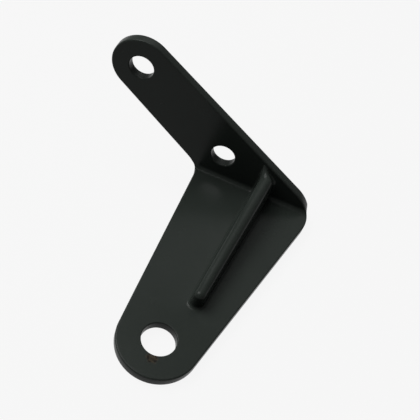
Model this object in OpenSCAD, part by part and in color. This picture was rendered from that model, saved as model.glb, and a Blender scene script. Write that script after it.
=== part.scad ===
// Horn bracket: one steel blank, cut flat, folded square once and stiffened by a rib pressed into the fold.
// The arm stands up and bolts to the machine by two holes, and the tongue carries the horn on one larger hole.
// Sketch frame: X runs along the fold, the arm rises along Z, and the tongue runs out along -Y.

/* [Sheet] */
// Thickness of the steel sheet
sheet_t = 3.2; // [2.5:0.1:3.6]
// Inner radius of the main fold
fold_r = 1.6; // [1:0.1:2.4]

/* [Arm] */
// Diameter of the arm's round end
arm_end_d = 20; // [17:0.5:24]
// Lean of the arm's centre line above the fold, in degrees
arm_lean = 32.5; // [29:0.5:36]
// Spread of each arm edge from the centre line, in degrees
arm_spread = 2; // [0.5:0.5:3]
// Diameter of the two bolt holes in the arm
bolt_hole_d = 8.2; // [5:0.1:9]
// Distance between the two bolt holes
bolt_pitch = 39.5; // [35:0.5:46]
// Height of the inner bolt hole above the tongue's top face
bolt_rise = 9.5; // [9:0.1:11]
// Distance of the inner bolt hole from the horn hole, along the fold
bolt_shift = 5.7; // [4:0.1:8]

/* [Tongue] */
// Diameter of the tongue's round end
tongue_end_d = 25; // [22:0.5:28]
// Diameter of the horn's stud hole
horn_hole_d = 10.4; // [8:0.1:12]
// Distance of the horn hole from the arm's front face
horn_reach = 67.3; // [62:0.1:76]
// Slope of the tongue's right edge, in degrees from square to the fold
tongue_slope = 14; // [12:0.5:16]

/* [Corners of the blank] */
// Radius of the outer corner, at the right end of the fold
corner_r = 13.4; // [11:0.1:15]
// Radius of the notch corner, at the left end of the fold
notch_r = 10; // [7:0.5:12]

/* [Lug] */
// Angle that the tongue's end is set down, in degrees
lug_set = 2; // [0.5:0.5:4]
// Distance from the lug's crease to the horn hole
lug_back = 10.5; // [9:0.1:12]

/* [Rib] */
// Distance of the rib's centre line from the horn hole, along the fold
rib_shift = 11; // [10:0.1:12]
// Slant of the rib on the tongue, in degrees from square to the fold
rib_slant = 6; // [4:0.5:8]
// Distance from the arm's front face to the far end of the rib's foot
rib_reach = 53.6; // [46:0.1:54]
// Height of the rib's crest at its far end
rib_low_h = 5.5; // [4.5:0.1:7]
// Height of the rib's crest where it meets the arm
rib_high_h = 11.5; // [10:0.1:13]
// Height on the arm at which the rib dies out
rib_top_h = 14; // [13:0.1:14.2]
// Distance that the rib's upper end leans towards the arm's free end
rib_top_lean = 2.3; // [1.5:0.1:3]
// Radius of the rib's rounded crest
rib_crest_r = 2.2; // [1.9:0.1:2.5]
// Draft of the rib's flanks, in degrees
rib_draft = 4.5; // [3:0.5:6]
// Wall left over the groove that the pressing makes in the back
rib_wall = 1.5; // [1.2:0.1:1.6]
// Half width of the groove's drawn-in mouth, in the back face
mouth_half = 2.8; // [2:0.1:3]

/* [Hidden] */
$fn = 96;

// Share of the thickness at which the sheet keeps its length in the fold
neutral = 0.4;
zone_half = PI / 4 * (fold_r + neutral * sheet_t);
outer_r = fold_r + sheet_t;
fold_steps = 12;
far = 2 * (horn_reach + tongue_end_d);

// Places on the flat blank: v is the distance from the middle of the fold, positive on the arm
function arm_v(height) = height - fold_r + zone_half;
function tongue_v(reach) = fold_r - zone_half - reach;

right_lean = arm_lean - arm_spread;
left_lean = arm_lean + arm_spread;
bolt_in = [-bolt_shift, bolt_rise];
bolt_out = bolt_in + bolt_pitch * [-cos(arm_lean), sin(arm_lean)];
arm_c = [bolt_out.x, arm_v(bolt_out.y)];
horn_c = [0, tongue_v(horn_reach)];

// Directions of the four straight edges, each pointing away from the fold's corner
arm_right_u = [-cos(right_lean), sin(right_lean)];
arm_left_u = [-cos(left_lean), sin(left_lean)];
tongue_right_u = [-sin(tongue_slope), -cos(tongue_slope)];
tongue_left_u = [0, -1];

// Points where the straight edges run into the round ends
arm_right_t = arm_c + arm_end_d / 2 * [sin(right_lean), cos(right_lean)];
arm_left_t = arm_c - arm_end_d / 2 * [sin(left_lean), cos(left_lean)];
tongue_right_t = horn_c + tongue_end_d / 2 * [cos(tongue_slope), -sin(tongue_slope)];
tongue_left_t = horn_c - [tongue_end_d / 2, 0];

// Crossing of the line through p along a with the line through q along b
function crossing(p, a, q, b) = p + a * ((q - p) * [b.y, -b.x]) / (a * [b.y, -b.x]);
// Half the angle between two edges that leave a corner
function half_angle(a, b) = acos(a * b) / 2;
// Length of edge that a corner arc of radius r takes up
function arc_leg(a, b, r) = r / tan(half_angle(a, b));
// Centre of the arc that rounds the corner q
function arc_centre(q, a, b, r) = q + (a + b) / norm(a + b) * r / sin(half_angle(a, b));

corner_q = crossing(arm_right_t, arm_right_u, tongue_right_t, tongue_right_u);
corner_leg = arc_leg(arm_right_u, tongue_right_u, corner_r);
corner_c = arc_centre(corner_q, arm_right_u, tongue_right_u, corner_r);
corner_on_arm = corner_q + corner_leg * arm_right_u;
corner_on_tongue = corner_q + corner_leg * tongue_right_u;

notch_q = crossing(arm_left_t, arm_left_u, tongue_left_t, tongue_left_u);
notch_leg = arc_leg(arm_left_u, tongue_left_u, notch_r);
notch_c = arc_centre(notch_q, arm_left_u, tongue_left_u, notch_r);
notch_on_arm = notch_q + notch_leg * arm_left_u;
notch_on_tongue = notch_q + notch_leg * tongue_left_u;

// Point of the line through q along a at the height v
function along(q, a, v) = q.x + a.x * (v - q.y) / a.y;
// Side of the blank at the height v: a straight edge, a corner arc, then a straight edge
function side_x(v, q, a, b, c, r, top, low) =
    v > top ? along(q, a, v) : v < low ? along(q, b, v) : c.x + sqrt(r * r - (v - c.y) * (v - c.y));
function right_x(v) = side_x(v, corner_q, arm_right_u, tongue_right_u, corner_c, corner_r,
                             corner_on_arm.y, corner_on_tongue.y);
function left_x(v) = side_x(v, notch_q, arm_left_u, tongue_left_u, notch_c, notch_r,
                            notch_on_arm.y, notch_on_tongue.y);

// Crease of the lug, and the rib's lines in its own upright plane: [reach, height]
crease_r = horn_reach - lug_back;
lug_length = far - crease_r;
crest_slope = atan((rib_high_h - rib_low_h) / rib_reach);
crest_drop = rib_crest_r / cos(crest_slope);
// Slight swelling of the rib's rounded parts, so that they meet its flanks at a clear angle
swell = 0.04;
end_reach = rib_reach - rib_crest_r - rib_low_h * tan(rib_draft);
function axis_h(reach) = rib_high_h - reach * tan(crest_slope) - crest_drop;

// The flat blank, before its holes
module blank() {
    difference() {
        union() {
            polygon([arm_left_t, arm_right_t, corner_on_arm, corner_on_tongue,
                     tongue_right_t, tongue_left_t, notch_on_tongue, notch_on_arm]);
            translate(arm_c) circle(d = arm_end_d);
            translate(horn_c) circle(d = tongue_end_d);
            translate(corner_c) circle(r = corner_r);
        }
        translate(notch_c) circle(r = notch_r);
    }
}

// The blank above the fold, stood up as the arm
module arm() {
    translate([0, sheet_t, fold_r - zone_half]) rotate([90, 0, 0]) linear_extrude(sheet_t) intersection() {
        blank();
        translate([-far, zone_half]) square([2 * far, far]);
    }
}

// Side view of the tongue and its lug, drawn on Y and Z and carried along X
module tongue_profile() {
    mitre = sheet_t * tan(lug_set / 2);
    run = lug_length * [-cos(lug_set), -sin(lug_set)];
    down = sheet_t * [sin(lug_set), -cos(lug_set)];
    top = [-crease_r, 0];
    polygon([[-fold_r, 0], top, top + run, top + run + down, [-crease_r + mitre, -sheet_t], [-fold_r, -sheet_t]]);
}

// The blank below the fold, laid out as the tongue
module tongue() {
    intersection() {
        translate([0, zone_half - fold_r, -far / 2]) linear_extrude(far) intersection() {
            blank();
            translate([-far, -far - zone_half]) square([2 * far, far]);
        }
        translate([-far, 0, 0]) rotate([90, 0, 90]) linear_extrude(2 * far) tongue_profile();
    }
}

// Fan of radial lines round the fold's axis, whose two ends follow the sides of the blank
module fold_fan() {
    radii = [fold_r / 4, outer_r + sheet_t];
    function station(k) = let (a = 90 * k / fold_steps, v = zone_half * (1 - 2 * k / fold_steps))
        [for (r = radii, x = [left_x(v), right_x(v)]) [x, r * cos(a) - fold_r, fold_r - r * sin(a)]];
    function ring(k) = let (i = 4 * k) [
        [i, i + 1, i + 5], [i, i + 5, i + 4],
        [i + 2, i + 6, i + 7], [i + 2, i + 7, i + 3],
        [i, i + 4, i + 6], [i, i + 6, i + 2],
        [i + 1, i + 3, i + 7], [i + 1, i + 7, i + 5]];
    last = 4 * fold_steps;
    polyhedron(
        points = [for (k = [0:fold_steps]) each station(k)],
        faces = concat([[0, 2, 3, 1]], [for (k = [0:fold_steps - 1]) each ring(k)],
                       [[last, last + 1, last + 3, last + 2]]));
}

// The quarter turn between arm and tongue
module fold() {
    intersection() {
        translate([-far, -fold_r, fold_r]) rotate([0, 90, 0]) difference() {
            cylinder(r = outer_r, h = 2 * far);
            translate([0, 0, -1]) cylinder(r = fold_r, h = 2 * far + 2);
        }
        fold_fan();
    }
}

// Puts a shape drawn in the rib's own upright plane in its place, slanted on the tongue
module at_rib() {
    translate([rib_shift, 0, 0]) rotate([0, 0, -rib_slant]) children();
}

// Cross-section of a pressing down to a given depth under its axis: a round crest on two drafted flanks
module section(r, draft, depth) {
    side = (r - swell) / cos(draft);
    foot = side + depth * tan(draft);
    polygon([[-foot, -depth], [foot, -depth], [side, 0], [-side, 0]]);
    circle(r = r);
}

// One straight pressing of crest radius r, rounded at its far end.
// It reaches back to depth behind the arm's front face and down to the same depth under the tongue's top.
module pressing(r, depth) {
    low = axis_h(end_reach) + depth;
    translate([0, -end_reach, axis_h(end_reach)]) {
        sphere(r = r + 2 * swell);
        translate([0, 0, -low]) cylinder(r1 = r + swell + low * tan(rib_draft), r2 = r + swell, h = low);
    }
    intersection() {
        translate([0, -end_reach, axis_h(end_reach)]) rotate([crest_slope, 0, 0])
            translate([0, far, 0]) rotate([90, 0, 0]) linear_extrude(2 * far) section(r, rib_draft, far / 4);
        translate([-far, -end_reach, -depth]) cube([2 * far, end_reach + depth, far]);
    }
}

// The rib's upper end: it turns up from the crest, leans to one side and dies out on the arm
module rib_tip() {
    rise = rib_top_h - axis_h(0);
    r = rib_crest_r - swell;
    back = asin(r / rise);
    aside = atan(rib_top_lean / rise);
    translate([0, 0, axis_h(0)]) rotate([0, -aside, 0]) rotate([-back, 0, 0]) cylinder(r = r, h = rise);
}

// All the space in front of the arm's middle and below its upper edge
module below_edge() {
    translate([0, sheet_t / 2, fold_r - zone_half]) rotate([90, 0, 0]) linear_extrude(far)
        polygon([arm_right_t, corner_on_arm, [corner_on_arm.x, -far], [arm_right_t.x, -far]]);
}

module rib() {
    intersection() {
        at_rib() {
            pressing(rib_crest_r, sheet_t / 2);
            rib_tip();
        }
        below_edge();
    }
}

// The groove that the pressing leaves in the back
module groove() {
    at_rib() pressing(rib_crest_r - rib_wall, 2 * sheet_t);
}

// The groove's mouth, drawn in along the tongue's underside, round the fold and up the arm's back
module mouth() {
    over = sheet_t / 4;
    wide = mouth_half + over;
    top = axis_h(0) - mouth_half / 2;
    at_rib() {
        translate([0, -fold_r, 0]) rotate([90, 0, 0]) linear_extrude(end_reach - fold_r)
            polygon([[-wide, -sheet_t - over], [wide, -sheet_t - over], [0, mouth_half - sheet_t]]);
        translate([0, -end_reach, -sheet_t - over]) cylinder(r1 = wide + swell, r2 = 0, h = wide + swell);
        translate([0, -fold_r, fold_r]) rotate([0, 90, 0]) rotate_extrude(angle = 90)
            polygon([[outer_r + over, -wide], [outer_r + over, wide], [outer_r - mouth_half, 0]]);
        translate([0, sheet_t, fold_r]) linear_extrude(top - fold_r)
            polygon([[-wide, over], [wide, over], [0, -mouth_half]]);
        translate([0, sheet_t + over, top]) rotate([90, 0, 0])
            cylinder(r1 = wide + swell, r2 = 0, h = wide + swell);
    }
}

// A bore through the arm
module arm_bore(place, d) {
    translate([place.x, 2 * sheet_t, place.y]) rotate([90, 0, 0]) cylinder(d = d, h = 3 * sheet_t);
}

// The horn's hole, square to the lug that is set down
module horn_bore() {
    translate([0, -crease_r, 0]) rotate([lug_set, 0, 0]) translate([0, -lug_back, -2 * sheet_t])
        cylinder(d = horn_hole_d, h = 3 * sheet_t);
}

module bracket() {
    color("#16181a") translate([-bolt_in.x, -sheet_t, -bolt_in.y]) difference() {
        union() {
            arm();
            fold();
            tongue();
            rib();
        }
        groove();
        mouth();
        arm_bore(bolt_in, bolt_hole_d);
        arm_bore(bolt_out, bolt_hole_d);
        horn_bore();
    }
}

bracket();
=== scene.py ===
import bmesh
import bpy
import numpy as np
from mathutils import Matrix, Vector
from mathutils.geometry import delaunay_2d_cdt


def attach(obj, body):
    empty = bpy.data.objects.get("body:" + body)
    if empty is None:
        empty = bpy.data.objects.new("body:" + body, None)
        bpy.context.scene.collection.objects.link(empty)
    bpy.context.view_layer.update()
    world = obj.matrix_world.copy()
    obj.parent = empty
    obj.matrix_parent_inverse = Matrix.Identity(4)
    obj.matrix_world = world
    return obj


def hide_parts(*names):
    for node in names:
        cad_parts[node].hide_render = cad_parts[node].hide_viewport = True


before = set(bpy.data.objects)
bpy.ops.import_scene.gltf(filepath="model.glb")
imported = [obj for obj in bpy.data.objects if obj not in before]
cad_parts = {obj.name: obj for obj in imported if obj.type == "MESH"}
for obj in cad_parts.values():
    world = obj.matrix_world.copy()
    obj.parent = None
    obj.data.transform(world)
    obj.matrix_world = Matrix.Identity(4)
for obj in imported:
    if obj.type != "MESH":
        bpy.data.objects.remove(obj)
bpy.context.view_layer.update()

# The blank. The real bracket is cut flat from 3.2 mm steel sheet, with its three holes, before it
# is folded. It is drawn flat here too, in millimetres: x runs along the fold, and v runs away from
# the middle of the fold, up the arm where it is positive and along the tongue where it is negative.
SHEET_T = 3.2
FOLD_R = 1.6
NEUTRAL_LAYER = 0.4
HALF_ZONE = np.pi / 4 * (FOLD_R + NEUTRAL_LAYER * SHEET_T)
ARM_LEAN, ARM_SPREAD, TONGUE_SLOPE = np.radians([32.5, 2.0, 14.0])
ARM_END_R = 10.0
TONGUE_END_R = 12.5
CORNER_R = 13.4
NOTCH_R = 10.0
BOLT_R = 4.1
BOLT_SHIFT = 5.7
BOLT_RISE = 9.5
BOLT_PITCH = 39.5
HORN_R = 5.2
HORN_REACH = 67.3
OUTLINE_STEP = 0.6


def bearing(way):
    """The angle of a direction, in degrees anticlockwise from x."""
    return np.degrees(np.arctan2(way[1], way[0]))


def arc(centre, r, start, end, n):
    """Points centre + r (cos t, sin t), t from start to end in degrees, and their (cos t, sin t)."""
    t = np.radians(np.linspace(start, end, n))
    ray = np.stack([np.cos(t), np.sin(t)], 1)
    return centre + r * ray, ray


def straight(start, end, out):
    """Points between two ends, both left out, about OUTLINE_STEP apart, and their outward direction."""
    n = max(int(np.hypot(*(end - start)) / OUTLINE_STEP), 1)
    points = start + (end - start) * np.linspace(0, 1, n + 1)[1:-1, None]
    return points, np.broadcast_to(out, points.shape)


def corner(p, a, q, b, r):
    """Centre and both ends of the arc of radius r that rounds the corner of the lines p + s a and q + t b.

    The centre is r / sin(half the corner's angle) from the corner along its bisector, and each end is
    r / tan(half the angle) from the corner along its own line.
    """
    s = np.linalg.solve(np.stack([a, -b], 1), q - p)[0]
    tip = p + s * a
    half = np.arccos(a @ b) / 2
    centre = tip + (a + b) / np.hypot(*(a + b)) * r / np.sin(half)
    return centre, tip + a * r / np.tan(half), tip + b * r / np.tan(half)


def blank_outline():
    """The blank's edge anticlockwise from the arm's end, its outward directions, and the hole centres.

    Four straight edges meet in two rounded corners, and each end is an arc round its own hole.
    """
    inner = np.array([-BOLT_SHIFT, BOLT_RISE - FOLD_R + HALF_ZONE])
    outer = inner + BOLT_PITCH * np.array([-np.cos(ARM_LEAN), np.sin(ARM_LEAN)])
    horn = np.array([0.0, FOLD_R - HALF_ZONE - HORN_REACH])
    up_right = np.array([-np.cos(ARM_LEAN - ARM_SPREAD), np.sin(ARM_LEAN - ARM_SPREAD)])
    up_left = np.array([-np.cos(ARM_LEAN + ARM_SPREAD), np.sin(ARM_LEAN + ARM_SPREAD)])
    down_right = np.array([-np.sin(TONGUE_SLOPE), -np.cos(TONGUE_SLOPE)])
    down_left = np.array([0.0, -1.0])
    # Outward directions of the arm's two edges and the tongue's two edges
    arm_right = np.array([up_right[1], -up_right[0]])
    arm_left = np.array([-up_left[1], up_left[0]])
    tongue_right = np.array([-down_right[1], down_right[0]])
    tongue_left = np.array([-1.0, 0.0])
    end_right, end_left = outer + ARM_END_R * arm_right, outer + ARM_END_R * arm_left
    lug_right, lug_left = horn + TONGUE_END_R * tongue_right, horn + TONGUE_END_R * tongue_left
    right_c, right_a, right_b = corner(end_right, up_right, lug_right, down_right, CORNER_R)
    notch_c, notch_a, notch_b = corner(end_left, up_left, lug_left, down_left, NOTCH_R)
    notch, notch_ray = arc(notch_c, NOTCH_R, bearing(-arm_left), bearing(-tongue_left), 40)
    pieces = [
        arc(outer, ARM_END_R, bearing(arm_right), bearing(arm_left) % 360, 64),
        straight(end_left, notch_a, arm_left),
        (notch, -notch_ray),
        straight(notch_b, lug_left, tongue_left),
        arc(horn, TONGUE_END_R, 180, 360 + bearing(tongue_right), 96),
        straight(lug_right, right_b, tongue_right),
        arc(right_c, CORNER_R, bearing(tongue_right), bearing(arm_right), 48),
        straight(right_a, end_right, arm_right),
    ]
    return np.concatenate([p for p, _ in pieces]), np.concatenate([n for _, n in pieces]), inner, outer, horn


edge, edge_out, bolt_in, bolt_out, horn_at = blank_outline()
circle = np.radians(np.arange(72) * 5.0)
ring = np.stack([np.cos(circle), np.sin(circle)], 1)
holes = [(bolt_in, BOLT_R), (bolt_out, BOLT_R), (horn_at, HORN_R)]

# The fold. The real blank is bent square once over a tool of small radius, and the lug round the
# horn's hole is set down 2 degrees at a crease. The same functions bend every point drawn on the
# flat. The part's own frame has its origin in the inner bolt hole, on the arm's back face.
CREASE_REACH = 56.8
CREASE_EASE = 0.8
LUG_SET = np.radians(2.0)
ROW_ORIGIN = np.array([BOLT_SHIFT, -SHEET_T, -BOLT_RISE])


def fold_line(v, depth=0.0):
    """Side view of the folded sheet, depth below its inner face: reach from the arm, and height.

    On the arm (v > HALF_ZONE) reach = -depth and height = v - HALF_ZONE + R. In the fold the angle a
    runs from 0 to 90 degrees, with reach = R - (R + depth) cos a and height = R - (R + depth) sin a.
    On the tongue reach = R - HALF_ZONE - v and height = -depth, until the lug turns down by LUG_SET.
    """
    v = np.asarray(v, float)
    a = np.clip((HALF_ZONE - v) / (2 * HALF_ZONE), 0, 1) * np.pi / 2
    reach = FOLD_R - (FOLD_R + depth) * np.cos(a)
    height = FOLD_R - (FOLD_R + depth) * np.sin(a) + np.maximum(v - HALF_ZONE, 0)
    run = np.maximum(-v - HALF_ZONE, 0)
    lug = np.maximum(run - (CREASE_REACH - FOLD_R), 0)
    turn = LUG_SET * np.clip(lug / CREASE_EASE, 0, 1)
    down = LUG_SET * np.where(lug < CREASE_EASE, lug * lug / (2 * CREASE_EASE), lug - CREASE_EASE / 2)
    return reach + run - depth * np.sin(turn), height - down + depth * (1 - np.cos(turn))


def to_row(x, reach, height):
    """Millimetres along the fold, away from the arm and up it, to metres in the part's own frame."""
    return (np.stack([x, -reach, height], -1) + ROW_ORIGIN) / 1000


def fold_up(flat, depth=0.0):
    """Points of the flat blank (columns x, v) bent into the part's own frame."""
    return to_row(flat[:, 0], *fold_line(flat[:, 1], depth))


# The rib. In the real bracket it is pressed into the fold from behind, so it stands out of the
# inner faces as a narrow bead with a round crest and leaves a slot with a drawn-in mouth in the
# back. It runs from a blunt end on the tongue to the arm, where it leans over and dies out.
RIB_X = 11.0
RIB_SLANT = np.tan(np.radians(6.0))
RIB_REACH = 53.6
RIB_AXIS = 51.1
RIB_DRAFT = np.radians(4.5)
CREST_EASE = 5.0
CREST_STEPS = 240
CREST_TAPER = 0.2
FAN_REACH = 12.0
TURN_UP = 3.2
TURN_PULL = 0.7
TIP_RUN = 3.5
TIP_LEANS_FROM = 7.2
TIP_NARROWS_FROM = 8.0
TIP_NARROWS_BY = 0.45


def side_distance(reach, height, depth):
    """Distance from the folded sheet's face at that depth, measured into the fold's open side."""
    plain = np.minimum(reach, height) + depth
    in_fold = FOLD_R + depth - np.hypot(reach - FOLD_R, height - FOLD_R)
    return np.where((reach < FOLD_R) & (height < FOLD_R), in_fold, plain)


def crest_path(low, high, top):
    """The crest's side view from the blunt end's axis to the tip on the arm, as reach and height.

    A straight slope from height high at the arm's face to low at RIB_REACH, eased level over the
    last CREST_EASE; near the arm a quadratic curve turns it up to die out at the point top.
    """
    grade = (high - low) / RIB_REACH
    reach = np.linspace(RIB_AXIS, top[0] + TURN_UP, CREST_STEPS)
    ease = np.clip((reach - (RIB_AXIS - CREST_EASE)) / CREST_EASE, 0, 1)
    height = high - grade * reach + grade * CREST_EASE / 2 * ease * ease
    t = np.linspace(0, 1, 60)[1:, None]
    start = np.array([reach[-1], height[-1]])
    pull = np.array([top[0] + TURN_PULL, height[-1] + grade * (TURN_UP - TURN_PULL)])
    curve = (1 - t) ** 2 * start + 2 * t * (1 - t) * pull + t * t * np.array(top)
    return np.concatenate([np.stack([reach, height], 1), curve])


def path_point(path, share):
    """Points at those shares of a path's length."""
    length = np.concatenate([[0], np.cumsum(np.hypot(*np.diff(path, axis=0).T))])
    s = share * length[-1]
    return np.stack([np.interp(s, length, path[:, 0]), np.interp(s, length, path[:, 1])], 1)


def nearest(points, path):
    """Distance from each point to a path: the least over its pieces of |p - a - t d|, t held to 0..1."""
    a, d = path[:-1], np.diff(path, axis=0)
    w = points[:, None, :] - a
    t = np.clip((w * d).sum(-1) / (d * d).sum(-1), 0, 1)[..., None]
    return np.linalg.norm(w - t * d, axis=-1).min(1)


def pressed_form(depth, path, crest_r, foot_r, lean):
    """Skin of one pressing in the face at that depth: its left, right and end grids, and its foot's loop.

    Stations run along the foot from the blunt end's axis to the tip, and nodes run from foot to crest.
    A node at distance e from the crest and d from the face stands
        w = sqrt(r^2 - (r - e)^2) + (e - r) tan(draft) + f - sqrt(f^2 - (f - d)^2)
    to either side of the rib's middle plane: a round crest, a drafted flank and a fillet at the foot.
    The blunt end is the first station turned half round its upright axis, and the tip narrows and
    moves sideways by lean over the last millimetres.
    """
    v_axis, v_fan = FOLD_R - HALF_ZONE - RIB_AXIS, FOLD_R - HALF_ZONE - FAN_REACH
    v_tip = path[-1, 1] - FOLD_R + HALF_ZONE
    stops = [(v_axis, v_fan, 30), (v_fan, -HALF_ZONE, 18), (-HALF_ZONE, HALF_ZONE, 14)]
    v = np.concatenate([np.linspace(a, b, n)[:-1] for a, b, n in stops] + [np.linspace(HALF_ZONE, v_tip, 36)])
    foot = np.stack(fold_line(v, depth), 1)

    # The crest's node of each station: straight above the foot, then fanned out round the fold
    slope = path[:CREST_STEPS]
    upright = v <= v_fan + 1e-9
    crest = np.empty_like(foot)
    crest[upright, 0] = foot[upright, 0]
    crest[upright, 1] = np.interp(foot[upright, 0], slope[::-1, 0], slope[::-1, 1])
    fanned = path[np.abs(slope[:, 0] - FAN_REACH).argmin():]
    crest[~upright] = path_point(fanned, (v[~upright] - v_fan) / (v_tip - v_fan))
    crest[-1] = foot[-1] = path[-1]
    tall = np.hypot(*(crest - foot).T)

    # Shares of the way from foot to crest: close together in the fillet and in the round crest
    low = foot_r * (1 - np.cos(np.linspace(0, np.pi / 2, 8)))
    top = crest_r * (1 - np.cos(np.linspace(0, np.pi / 2, 9)))
    squeeze = (np.minimum(1, tall / (1.15 * (foot_r + crest_r))) / np.maximum(tall, 1e-6))[:, None]
    q_low, q_top = low * squeeze, 1 - top[::-1] * squeeze
    q_mid = q_low[:, -1:] + (q_top[:, :1] - q_low[:, -1:]) * np.linspace(0, 1, 7)[1:-1]
    q = np.concatenate([q_low, q_mid, q_top], 1)
    side = foot[:, None, :] + q[..., None] * (crest - foot)[:, None, :]
    reach, height = side[..., 0], side[..., 1]

    e = nearest(side.reshape(-1, 2), path).reshape(q.shape)
    e[:, -1] = 0
    d = np.maximum(side_distance(reach, height, depth), 0)
    d[:, 0] = 0
    r = crest_r * (1 - CREST_TAPER * np.clip(reach / 50, 0, 1))
    f = (foot_r * np.minimum(1, tall / TIP_RUN))[:, None]
    w = np.sqrt(np.maximum(r * r - (r - np.minimum(e, r)) ** 2, 0))
    w = w + np.maximum(e - r, 0) * np.tan(RIB_DRAFT)
    w = w + f - np.sqrt(np.maximum(f * f - (f - np.minimum(d, f)) ** 2, 0))
    w[:, -1] = 0
    w[-1] = 0

    # Over the arm the tip leans and narrows, the more so the higher it is
    over = np.clip(1 - reach / TIP_RUN, 0, 1)
    over = over * over * (3 - 2 * over)
    lean = lean * over * np.clip((height - TIP_LEANS_FROM) / (path[-1, 1] - TIP_LEANS_FROM), 0, 1)
    middle = RIB_X - reach * RIB_SLANT - lean
    w = w * (1 - TIP_NARROWS_BY * over * np.clip((height - TIP_NARROWS_FROM) / TIP_RUN, 0, 1))

    turn = np.radians(np.linspace(0, 180, 33))[:, None]
    out = RIB_AXIS + w[0] * np.sin(turn)
    x_out = RIB_X + w[0] * np.cos(turn) - out * RIB_SLANT
    end = to_row(x_out, out, np.broadcast_to(height[0], out.shape))
    loop = np.concatenate([
        np.stack([(middle - w)[::-1, 0], v[::-1]], 1)[:-1],
        np.stack([x_out[::-1, 0], FOLD_R - HALF_ZONE - out[::-1, 0]], 1),
        np.stack([(middle + w)[1:-1, 0], v[1:-1]], 1),
    ])
    return (to_row(middle - w, reach, height), to_row(middle + w, reach, height), end), loop


front_rib, front_loop = pressed_form(0.0, crest_path(5.5, 11.5, (0.0, 13.3)), 2.3, 1.0, 2.8)
back_slot, back_loop = pressed_form(SHEET_T, crest_path(4.0, 10.0, (-SHEET_T, 11.4)), 0.75, 2.2, 0.0)

# The skin. Paint rounds off the real sheet's cut edges and holes, so two flat faces are joined here
# by rounded edges, and the rib and the slot are let into them. A narrow flat strip holds each
# rounded edge and keeps it clear of the triangles, which are the only part not worked as a grid.
EDGE_R = 0.45
RIM_R = 0.35
HOLD = 0.12
SLIVER = 1e-3
CLEAR = 0.3
MERGE = 2e-6


def grid_faces(rows, columns, wrap, flip):
    """Quads of a grid of points numbered row by row, closed round its columns if wrap."""
    i, j = np.meshgrid(np.arange(rows - 1), np.arange(columns if wrap else columns - 1), indexing="ij")
    k = (j + 1) % columns
    quads = np.stack([i * columns + j, i * columns + k, (i + 1) * columns + k, (i + 1) * columns + j], -1)
    quads = quads.reshape(-1, 4)
    return quads[:, ::-1] if flip else quads


def cross(a, b):
    """Twice the signed area of the triangle on two flat vectors: ax by - ay bx."""
    return a[:, 0] * b[:, 1] - a[:, 1] * b[:, 0]


def inside(points, loop):
    """True for points within a closed loop: an odd number of its edges lie to their right."""
    a, b = loop, np.roll(loop, -1, 0)
    px, py = points[:, 0][:, None], points[:, 1][:, None]
    spans = (a[:, 1] > py) != (b[:, 1] > py)
    with np.errstate(divide="ignore", invalid="ignore"):
        x = a[:, 0] + (py - a[:, 1]) * (b[:, 0] - a[:, 0]) / (b[:, 1] - a[:, 1])
    return (np.sum(spans & (px < x), 1) % 2).astype(bool)


def face_triangles(loops, extra, upwards):
    """Triangles between a flat region's rim, the first loop, and its openings, the other loops.

    A triangle stays where its middle lies in the rim and in no opening, unless it is a sliver.
    """
    points = np.concatenate(loops + [extra])
    starts = np.cumsum([0] + [len(loop) for loop in loops])
    rounds = [np.arange(a, b) for a, b in zip(starts[:-1], starts[1:])]
    edges = np.concatenate([np.stack([k, np.roll(k, -1)], 1) for k in rounds])
    found = delaunay_2d_cdt(points.tolist(), edges.tolist(), [], 0, 1e-7)
    tri = np.array(found[3])[:, 0][np.array(found[2])]
    a, b, c = points[tri[:, 0]], points[tri[:, 1]], points[tri[:, 2]]
    keep = np.abs(cross(b - a, c - a)) > SLIVER * np.maximum(np.hypot(*(b - a).T), np.hypot(*(c - a).T))
    middle = points[tri].mean(1)
    keep &= inside(middle, loops[0])
    for opening in loops[1:]:
        keep &= ~inside(middle, opening)
    turned = (cross(b - a, c - a) > 0) != upwards
    return points, np.where(turned[:, None], tri[:, ::-1], tri)[keep]


def on_grid(x, v):
    """Every pair of an x and a v, as rows."""
    return np.stack(np.meshgrid(x, v, indexing="ij"), -1).reshape(-1, 2)


parts = []

# Rounded edges: the profile runs from the inner face to the outer face as inset and depth
bend = np.linspace(0, np.pi / 2, 7)
for line, outward, r in [(edge, edge_out, EDGE_R)] + [(c + ring * h, -ring, RIM_R) for c, h in holes]:
    inset = np.concatenate([[r + HOLD], r * (1 - np.sin(bend)), r * (1 - np.cos(bend)), [r + HOLD]])
    below = np.concatenate([[0], r * (1 - np.cos(bend)), SHEET_T - r * (1 - np.sin(bend)), [SHEET_T]])
    skin = np.stack([fold_up(line - outward * i, d) for i, d in zip(inset, below)])
    parts.append((skin, grid_faces(len(inset), len(line), True, line is not edge)))

# The two faces, with rows of points where the sheet bends at the fold and at the crease
zone_rows = np.linspace(-HALF_ZONE, HALF_ZONE, 13)
fold_rows = np.concatenate([[-HALF_ZONE - CLEAR], zone_rows, [HALF_ZONE + CLEAR]])
crease_rows = FOLD_R - HALF_ZONE - CREASE_REACH + np.linspace(0.2, -1.0, 9)
in_fold, in_crease = on_grid(np.arange(-16, 36, 0.55), fold_rows), on_grid(np.arange(-14, 24, 0.6), crease_rows)
bent = np.concatenate([in_fold, in_crease])
rim = edge - edge_out * (EDGE_R + HOLD)
hole_rims = [c + ring * (h + RIM_R + HOLD) for c, h in holes]
for depth, loop in ((0.0, front_loop), (SHEET_T, back_loop)):
    loops = [rim, loop] + hole_rims
    gap = np.linalg.norm(bent[:, None, :] - np.concatenate(loops), axis=-1).min(1)
    clear = inside(bent, rim) & ~inside(bent, loop) & (gap > CLEAR)
    flat, triangles = face_triangles(loops, bent[clear], depth == 0)
    parts.append((fold_up(flat, depth), triangles))

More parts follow.
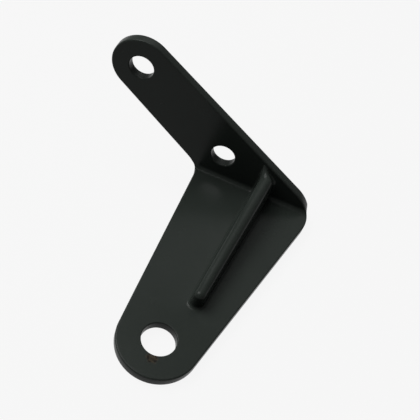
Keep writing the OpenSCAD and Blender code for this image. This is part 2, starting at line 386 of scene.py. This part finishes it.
# The rib on the inner face and the slot in the outer face
for (left, right, end), flip in ((front_rib, False), (back_slot, True)):
    rows, columns = left.shape[:2]
    parts.append((left, grid_faces(rows, columns, False, flip)))
    parts.append((right, grid_faces(rows, columns, False, not flip)))
    parts.append((end, grid_faces(end.shape[0], columns, False, flip)))

points = [p.reshape(-1, 3) for p, _ in parts]
starts = np.cumsum([0] + [len(p) for p in points])
faces = [face for (_, f), start in zip(parts, starts) for face in (f + start).tolist()]
mesh = bpy.data.meshes.new("painted_bracket")
mesh.from_pydata(np.concatenate(points).tolist(), [], faces)
seam = bmesh.new()
seam.from_mesh(mesh)
bmesh.ops.remove_doubles(seam, verts=seam.verts, dist=MERGE)
bmesh.ops.recalc_face_normals(seam, faces=seam.faces)
seam.to_mesh(mesh)
seam.free()
mesh.shade_smooth()
bracket = bpy.data.objects.new("painted_bracket", mesh)
bpy.context.scene.collection.objects.link(bracket)

# The paint. The real bracket has a coat of gloss black with a green cast, faintly uneven, over
# brown steel. It is worn through in one small patch at the rim of the horn's hole.
PAINT_LOW, PAINT_HIGH = (0.0225, 0.0275, 0.0240, 1), (0.0250, 0.0300, 0.0265, 1)
BROWN_LOW, BROWN_HIGH = (0.010, 0.008, 0.006, 1), (0.044, 0.036, 0.024, 1)
BARE_AT = (0.0061, -0.0767, -0.0099)
BARE_RAGGED = 0.0016


def gloss_black(name):
    """Gloss black paint: a slow change of colour and gloss, a faint orange peel, and the bare patch.

    The patch is where a point's distance from BARE_AT, in metres, plus BARE_RAGGED times a fine
    noise is small. It shows brown, is rougher, and lies a little lower than the paint.
    """
    mat = bpy.data.materials.new(name)
    mat.use_nodes = True
    nodes, links = mat.node_tree.nodes, mat.node_tree.links
    shader = nodes["Principled BSDF"]
    shader.inputs["Specular IOR Level"].default_value = 0.1
    place = nodes.new("ShaderNodeTexCoord").outputs["Object"]

    def noise(scale, detail):
        """Noise in the object's own coordinates, scale waves to the metre."""
        node = nodes.new("ShaderNodeTexNoise")
        node.inputs["Scale"].default_value = scale
        node.inputs["Detail"].default_value = detail
        links.new(place, node.inputs["Vector"])
        return node.outputs["Fac"]

    def between(value, low, high, start, end):
        """Start where the value is at most low, end where it is at least high, and even between them."""
        node = nodes.new("ShaderNodeMapRange")
        for socket, number in (("From Min", low), ("From Max", high), ("To Min", start), ("To Max", end)):
            node.inputs[socket].default_value = number
        links.new(value, node.inputs["Value"])
        return node.outputs["Result"]

    def mixed(share, first, second):
        """Two colours mixed: the first where share is 0, and the second where it is 1."""
        node = nodes.new("ShaderNodeMix")
        node.data_type = "RGBA"
        links.new(share, node.inputs["Factor"])
        for socket, colour in ((node.inputs[6], first), (node.inputs[7], second)):
            if isinstance(colour, tuple):
                socket.default_value = colour
            else:
                links.new(colour, socket)
        return node.outputs[2]

    def plus(first, second, factor):
        """The first value plus factor times the second."""
        node = nodes.new("ShaderNodeMath")
        node.operation = "MULTIPLY_ADD"
        links.new(second, node.inputs[0])
        node.inputs[1].default_value = factor
        links.new(first, node.inputs[2])
        return node.outputs[0]

    apart = nodes.new("ShaderNodeVectorMath")
    apart.operation = "DISTANCE"
    apart.inputs[1].default_value = BARE_AT
    links.new(place, apart.inputs[0])
    bare = between(plus(apart.outputs["Value"], noise(900, 2), BARE_RAGGED), 0.0021, 0.0028, 1, 0)
    black = mixed(between(noise(60, 3), 0.35, 0.65, 0, 1), PAINT_LOW, PAINT_HIGH)
    brown = mixed(between(noise(1300, 2), 0.4, 0.6, 0, 1), BROWN_LOW, BROWN_HIGH)
    links.new(mixed(bare, black, brown), shader.inputs["Base Color"])
    links.new(plus(between(noise(90, 4), 0.3, 0.7, 0.24, 0.28), bare, 0.35), shader.inputs["Roughness"])
    bump = nodes.new("ShaderNodeBump")
    bump.inputs["Strength"].default_value = 0.12
    bump.inputs["Distance"].default_value = 0.0001
    links.new(plus(noise(700, 2), bare, -0.6), bump.inputs["Height"])
    links.new(bump.outputs["Normal"], shader.inputs["Normal"])
    return mat


mesh.materials.append(gloss_black("gloss_black_paint"))
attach(bracket, "root")
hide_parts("bracket")

# The floor. It is a sheet of pale paper under the bracket, and it isn't part of it. Light Path
# makes it white to the camera and in reflections, and the rest of it takes the bracket's shadow.
FLOOR_Z = -0.0137
FLOOR_HALF = 2.0
FLOOR_GREY = (0.3, 0.3, 0.3, 1)


def seen_share(tree, base, eye, gloss):
    """A level of white: base, plus eye to the camera and through glass, plus gloss in a reflection."""
    rays = tree.nodes.new("ShaderNodeLightPath")
    level = None
    for ray, factor in (("Is Camera Ray", eye), ("Is Transmission Ray", eye), ("Is Glossy Ray", gloss)):
        step = tree.nodes.new("ShaderNodeMath")
        step.operation = "MULTIPLY_ADD"
        tree.links.new(rays.outputs[ray], step.inputs[0])
        step.inputs[1].default_value = factor
        step.inputs[2].default_value = base
        if level:
            tree.links.new(level, step.inputs[2])
        level = step.outputs[0]
    return level


floor_mesh = bpy.data.meshes.new("floor")
floor_corners = [(x, y, FLOOR_Z) for x, y in FLOOR_HALF * np.array([(-1, -1), (1, -1), (1, 1), (-1, 1)])]
floor_mesh.from_pydata(floor_corners, [], [(0, 1, 2, 3)])
floor = bpy.data.objects.new("floor", floor_mesh)
bpy.context.scene.collection.objects.link(floor)
paper = bpy.data.materials.new("white_paper")
paper.use_nodes = True
nodes, links = paper.node_tree.nodes, paper.node_tree.links
matt = nodes["Principled BSDF"]
matt.inputs["Base Color"].default_value = FLOOR_GREY
matt.inputs["Roughness"].default_value = 1.0
matt.inputs["Specular IOR Level"].default_value = 0.0
glow = nodes.new("ShaderNodeEmission")
both = nodes.new("ShaderNodeMixShader")
links.new(seen_share(paper.node_tree, 0.0, 0.9, 0.7), both.inputs[0])
links.new(matt.outputs[0], both.inputs[1])
links.new(glow.outputs[0], both.inputs[2])
links.new(both.outputs[0], nodes["Material Output"].inputs["Surface"])
floor_mesh.materials.append(paper)

# The studio. Its walls are pale and give next to no light, and four softboxes do: two from above
# and the left that light the tongue, and two weak ones behind the arm that give the paint its gloss.
world = bpy.data.worlds.new("studio")
world.use_nodes = True
walls = world.node_tree.nodes["Background"]
walls.inputs["Color"].default_value = (1, 1, 1, 1)
world.node_tree.links.new(seen_share(world.node_tree, 0.03, 0.89, 0.25), walls.inputs["Strength"])
bpy.context.scene.world = world
LIT_POINT = (0.0, -0.03, 0.0)
LIGHT_FAR = 0.95


def softbox(name, azimuth, elevation, size, power):
    """A rectangular area light LIGHT_FAR from the origin, facing LIT_POINT, with its power in watts.

    Its direction is azimuth, 0 along +Y and 90 along +X, and elevation above the floor, in degrees.
    """
    az, el = np.radians([azimuth, elevation])
    place = LIGHT_FAR * Vector((np.sin(az) * np.cos(el), np.cos(az) * np.cos(el), np.sin(el)))
    light = bpy.data.lights.new(name, "AREA")
    light.shape = "RECTANGLE"
    light.size, light.size_y = size
    light.energy = power
    lamp = bpy.data.objects.new(name, light)
    lamp.location = place
    lamp.rotation_euler = (Vector(LIT_POINT) - place).to_track_quat("-Z", "Y").to_euler()
    bpy.context.scene.collection.objects.link(lamp)


softbox("top_softbox", 272, 66, (0.7, 0.7), 5.6)
softbox("back_left_softbox", 342, 46, (0.42, 0.42), 0.4)
softbox("back_right_softbox", 10, 46, (0.42, 0.42), 0.25)
softbox("left_softbox", 275, 50, (0.6, 0.42), 3.8)

# The camera. It stands where the photograph was taken from, above and in front of the tongue, and
# its place, turn and lens come from fitting the bracket's outline and hole rims to the photograph.
camera = bpy.data.cameras.new("camera")
camera.sensor_width = 36.0
camera.lens = 67.85
view = bpy.data.objects.new("camera", camera)
view.location = (0.01186, -0.189041, 0.182449)
view.rotation_euler = np.radians([39.6413, -13.8791, 19.0269])
bpy.context.scene.collection.objects.link(view)
bpy.context.scene.camera = view
bpy.context.scene.view_settings.view_transform = "Standard"
